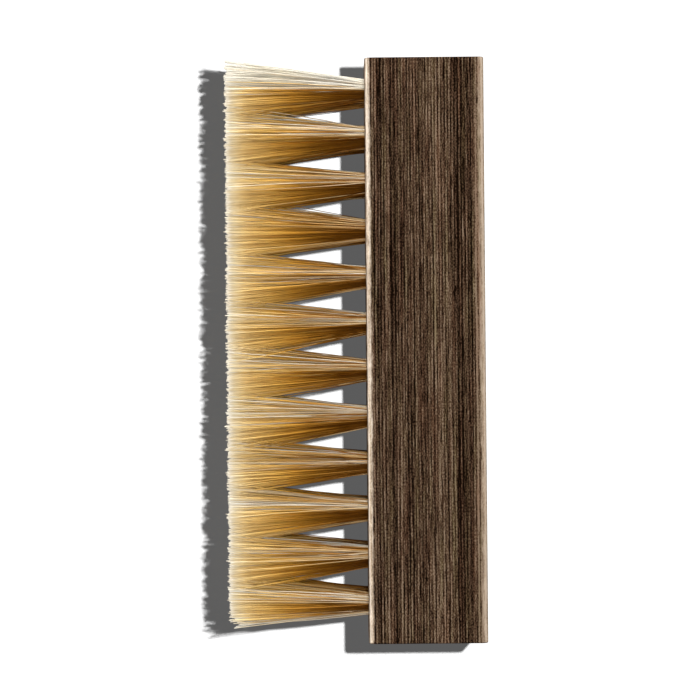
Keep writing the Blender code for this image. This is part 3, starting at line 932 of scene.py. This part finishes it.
def tip_cell(row, column, rows, columns, hole):
    """The middle and half size of the place that a bunch's tips fill, from its hole's middle."""
    low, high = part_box(tuft_name(row, column))
    overlap = TOP_OVERLAP if row == rows else LOWER_OVERLAP
    left = low.x - (overlap if column > 1 else FIRST_END_FLARE)
    right = high.x + (overlap if column < columns else LAST_END_FLARE)
    down = low.z - (ROW_OVERLAP if row > 1 else 0)
    up = high.z + (ROW_OVERLAP if row < rows else TOP_SPLAY)
    middle = Vector(((left + right) / 2 - hole.x, 0, (down + up) / 2 - hole.z))
    return middle, Vector(((right - left) / 2, 0, (up - down) / 2))


def make_bunches(rows, columns, bristle):
    """A bunch of hairs in place of each tuft of the frame."""
    tree = None
    chance = random.Random(FIRST_SEED)
    for row in range(1, rows + 1):
        for column in range(1, columns + 1):
            node = tuft_name(row, column)
            hole = hole_middle(node)
            middle, half = tip_cell(row, column, rows, columns, hole)
            if 1 < column < columns:
                middle.x += chance.uniform(*LEAN)
            outer = {1: FIRST_OUTER, columns: LAST_OUTER}.get(column, NO_OUTER)
            values = {
                "Hairs": HAIRS, "Seed": FIRST_SEED + BUNCH_SEED_STEP * (columns * row + column),
                "Hole Middle": hole, "Cell Middle": middle, "Cell Half": half,
                "Bundle Radius": TOP_BUNDLE_RADIUS if row == rows else LOWER_BUNDLE_RADIUS,
                "Flare": TOP_FLARE if row == rows else LOWER_FLARE, "Root Depth": ROOT_DEPTH,
                "Trim Length": FACE_Y - TIPS_Y, "Hair Radius": HAIR_RADIUS,
                "Stray Scatter": STRAY_SCATTER if 1 < column < columns else 0.0,
                # The side light and its shift paint light and shade into the hairs' colour
                "Floor Clearance": FLOOR_CLEARANCE, "Side Light Shift": chance.uniform(-SIDE_LIGHT_SHIFT, SIDE_LIGHT_SHIFT),
                "Side Painted Light": SIDE_PAINTED_LIGHT if row == rows else LOWER_SIDE_PAINTED_LIGHT,
                **LOOSENESS, **dict(zip(OUTER_SIZES, outer)),
            }
            tree = tree or bunch_tree(bristle, values)
            bunch = grow(f"bristles_row{row}_{column:02d}", tree, values)
            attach(bunch, "root")
            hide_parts(node)


# Anchors


def steel_material():
    """Tinned mild steel wire, rolled flat: a dull grey metal with faint drawing lines."""
    made, tree = new_material("tinned_steel")
    place = add_node(tree, "ShaderNodeTexCoord").outputs["Object"]
    along, across = STEEL_LINES
    lines = add_node(tree, "ShaderNodeMapping", {
        "Vector": place, "Scale": (along / MM, across / MM, across / MM),
    })
    noise = add_node(tree, "ShaderNodeTexNoise", {"Vector": lines, "Scale": 1.0, "Detail": 2.0})
    shade = set_ramp(add_node(tree, "ShaderNodeValToRGB", {0: noise}), STEEL_SHADES)
    rough = add_node(tree, "ShaderNodeMapRange", {"Value": noise, "To Min": 0.3, "To Max": 0.5})
    shader = add_node(tree, "ShaderNodeBsdfPrincipled", {
        "Base Color": shade, "Metallic": 1.0, "Roughness": rough,
    })
    add_node(tree, "ShaderNodeOutputMaterial", {"Surface": shader})
    return made


def anchor_tree(steel, values):
    """A short flat wire on edge across the bottom of every hole, its ends in the wood."""
    tree, given = new_tree("flat_anchors", values)
    wire = add_node(tree, "GeometryNodeMeshCube", {"Size": given["Size"]})
    sunk = add_node(tree, "GeometryNodeTransform", {
        "Geometry": wire, "Translation": add_node(tree, "ShaderNodeCombineXYZ", {"Y": given["Depth"]}),
    })
    wires = add_copies(tree, add_grid(tree, given), sunk)
    painted = add_node(tree, "GeometryNodeSetMaterial", {"Geometry": wires, "Material": steel})
    add_node(tree, "NodeGroupOutput", {0: painted})
    return tree


def make_anchors(holes, steel):
    """The anchors as one piece. The frame has them in the block's solid, so it replaces no node."""
    values = {"Size": ANCHOR_SIZE, "Depth": ANCHOR_DEPTH, **holes}
    anchors = grow("flat_wire_anchors", anchor_tree(steel, values), values)
    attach(anchors, "root")


# Stage, camera and light


def make_floor():
    """A pale floor that throws back little light. The camera sees it as white, with the brush's
    shadow in grey, and further off it glows by itself, where the lamp falls away."""
    made, tree = new_material("pale_floor")
    seen = add_node(tree, "ShaderNodeLightPath").outputs["Is Camera Ray"]
    card = add_node(tree, "ShaderNodeMix", {
        "Factor": seen, "A": colour(FLOOR_BOUNCE), "B": colour(FLOOR_SEEN),
    }, **MIXED)
    diffuse = add_node(tree, "ShaderNodeBsdfDiffuse", {"Color": card, "Roughness": 0.0})
    place = add_node(tree, "ShaderNodeTexCoord").outputs["Object"]
    away = add_node(tree, "ShaderNodeVectorMath", {0: place}, operation="LENGTH").outputs["Value"]
    glow = add_node(tree, "ShaderNodeMapRange", {
        "Value": away, "From Min": GLOW_REACH[0], "From Max": GLOW_REACH[1],
        "To Min": FLOOR_GLOW, "To Max": 1.0,
    })
    level = add_node(tree, "ShaderNodeMath", {0: seen, 1: glow}, operation="MULTIPLY")
    glow = add_node(tree, "ShaderNodeEmission", {"Strength": level})
    shader = add_node(tree, "ShaderNodeAddShader", {0: diffuse, 1: glow})
    add_node(tree, "ShaderNodeOutputMaterial", {"Surface": shader})
    bpy.ops.mesh.primitive_plane_add(size=FLOOR_SIZE)
    floor = bpy.context.object
    floor.name = "floor"
    floor.data.materials.append(made)
    return floor


def make_camera():
    """Straight above the brush, turned so that the bristles point to the left of the picture."""
    data = bpy.data.cameras.new("camera")
    data.sensor_width = SENSOR
    data.lens = SENSOR / 2 * (CAMERA_HEIGHT - BLOCK_HIGH.z) / HALF_FRAME
    data.clip_start = 0.01
    camera = bpy.data.objects.new("camera", data)
    camera.location = (*CAMERA_MIDDLE, CAMERA_HEIGHT)
    camera.rotation_euler = (0, 0, math.pi / 2 + CAMERA_ROLL)
    bpy.context.scene.collection.objects.link(camera)
    bpy.context.scene.camera = camera


def lamp_power(level, place):
    """The power of a softbox in this place that gives the brush this level of light."""
    return level * math.pi**2 * (LIT_MIDDLE - Vector(place)).length_squared


def add_lamp(name, data, place, floor, floor_link):
    """A lamp that faces the brush: its floor link says INCLUDE to light the floor alone, and
    EXCLUDE to light all but the floor."""
    lamp = bpy.data.objects.new(name, data)
    lamp.location = place
    lamp.visible_glossy = name == MIRRORED
    lamp.rotation_euler = (LIT_MIDDLE - Vector(place)).to_track_quat("-Z", "Y").to_euler()
    bpy.context.scene.collection.objects.link(lamp)
    receivers = bpy.data.collections.new(name + "_receivers")
    receivers.objects.link(floor)
    lamp.light_linking.receiver_collection = receivers
    receivers.collection_objects[0].light_linking.link_state = floor_link


def make_lamps(floor):
    """A small high lamp draws the shadow on the floor, and the others light the brush alone."""
    for name, (place, radius, level, floor_link) in POINT_LAMPS.items():
        lamp = bpy.data.lights.new(name, "POINT")
        lamp.shadow_soft_size = radius
        lamp.energy = 4 * lamp_power(level, place)
        add_lamp(name, lamp, place, floor, floor_link)
    for name, (place, level, width, height) in SOFTBOXES.items():
        box = bpy.data.lights.new(name, "AREA")
        box.shape = "RECTANGLE"
        box.size, box.size_y = width, height
        box.energy = lamp_power(level, place)
        add_lamp(name, box, place, floor, "EXCLUDE")


def make_world():
    """A studio that is white to the camera and lights the brush only faintly."""
    world = bpy.data.worlds.new("studio")
    world.use_nodes = True
    tree = world.node_tree
    seen = add_node(tree, "ShaderNodeLightPath").outputs["Is Camera Ray"]
    level = add_node(tree, "ShaderNodeMapRange", {"Value": seen, "To Min": WORLD_LEVEL, "To Max": 1.0})
    sky = tree.nodes["Background"]
    sky.inputs["Color"].default_value = (1, 1, 1, 1)
    tree.links.new(level.outputs[0], sky.inputs["Strength"])
    bpy.context.scene.world = world


def main():
    bpy.context.scene.view_settings.view_transform = "Standard"
    make_camera()
    rows, columns = count_bunches()
    first = hole_middle(tuft_name(1, 1))
    along = (hole_middle(tuft_name(1, columns)).x - first.x) / (columns - 1)
    aside = (hole_middle(tuft_name(rows, 1)).z - first.z) / (rows - 1)
    pitch = Vector((along, 0, aside))
    holes = {"Columns": columns, "Rows": rows, "First Hole": first, "Pitch": pitch}
    make_block(holes, walnut_material())
    make_bunches(rows, columns, bristle_material())
    make_anchors(holes, steel_material())
    make_lamps(make_floor())
    make_world()


main()
